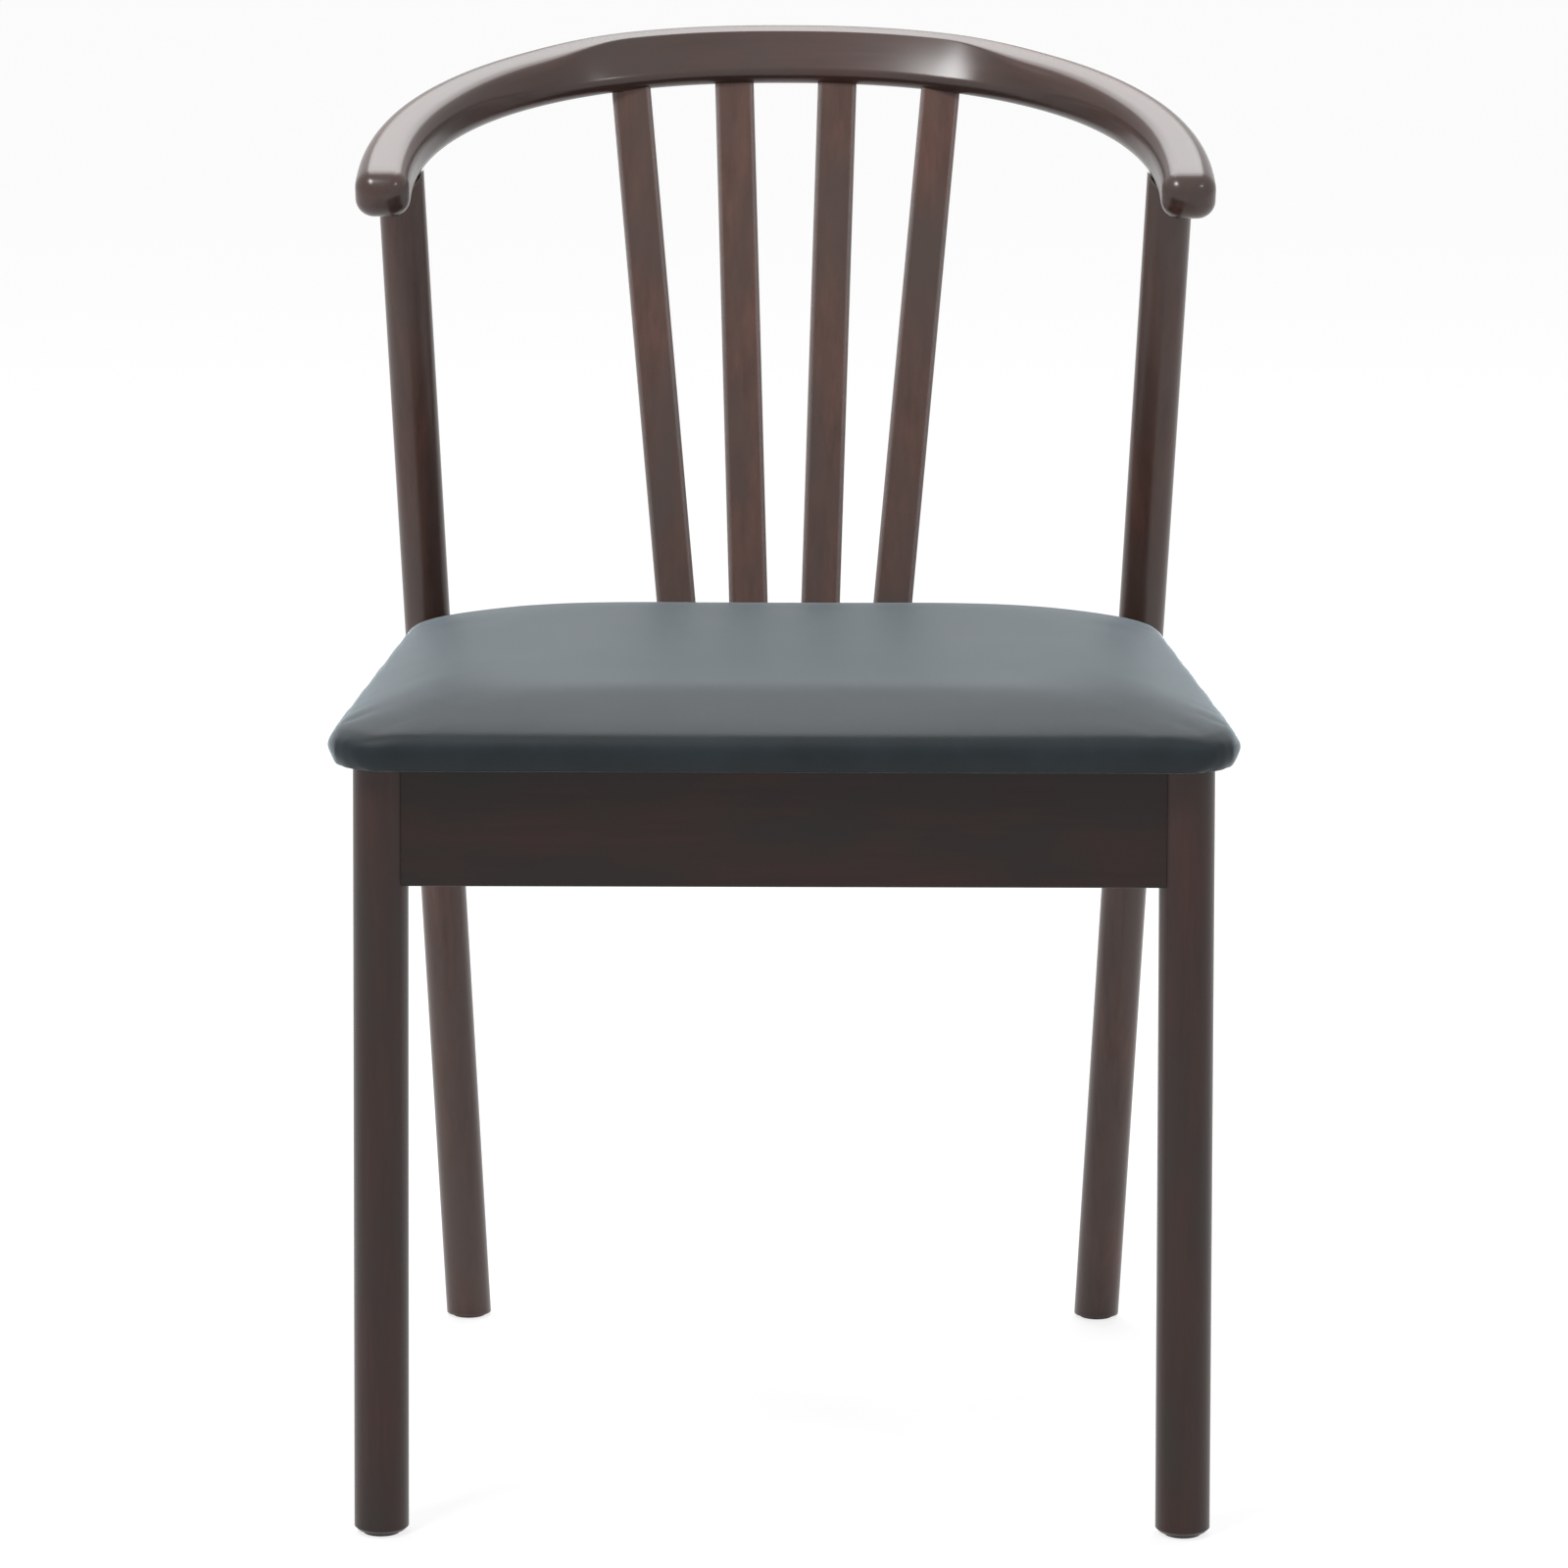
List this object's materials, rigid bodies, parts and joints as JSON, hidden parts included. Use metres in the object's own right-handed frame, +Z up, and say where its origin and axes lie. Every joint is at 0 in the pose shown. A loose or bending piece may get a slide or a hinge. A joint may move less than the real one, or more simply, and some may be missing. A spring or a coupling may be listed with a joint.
{
  "type": "dining chair",
  "caption": "Bow-back wooden dining chair: sculpted horseshoe rail on raked round posts, fanned flat slats, round front legs and a padded seat in dark artificial leather",
  "frame": {"origin": "on the floor, under the middle of the chair's bounding box", "axes": "+Z up, -Y towards the front of the chair, +X to the right of someone who looks at its front"},
  "size_m": [0.4924, 0.5106, 0.7884],
  "materials": {
    "stained_wood": "satin lacquer over dark brown stain",
    "bare_wood": "planed, unfinished",
    "plywood": "raw plywood",
    "foam": "soft foam",
    "artificial_leather": "satin, fine grain",
    "dust_cloth": "matte",
    "screw_steel": "zinc plated",
    "glide_plastic": "matte"
  },
  "bodies": {
    "root": {"bow_rail": "stained_wood", "slat_1": "stained_wood", "slat_2": "stained_wood", "slat_3": "stained_wood", "slat_4": "stained_wood", "rear_post_left": "stained_wood", "rear_post_right": "stained_wood", "front_leg_left": "stained_wood", "front_leg_right": "stained_wood", "front_rail": "stained_wood", "rear_rail": "stained_wood", "side_rail_left": "stained_wood", "side_rail_right": "stained_wood", "corner_block_front_left": "bare_wood", "corner_block_front_right": "bare_wood", "corner_block_rear_left": "bare_wood", "corner_block_rear_right": "bare_wood", "seat_board": "plywood", "seat_foam": "foam", "seat_cover": "artificial_leather", "dust_cover": "dust_cloth", "seat_screws": "screw_steel", "front_glides": "glide_plastic", "rear_glides": "glide_plastic"}
  },
  "joints": []
}
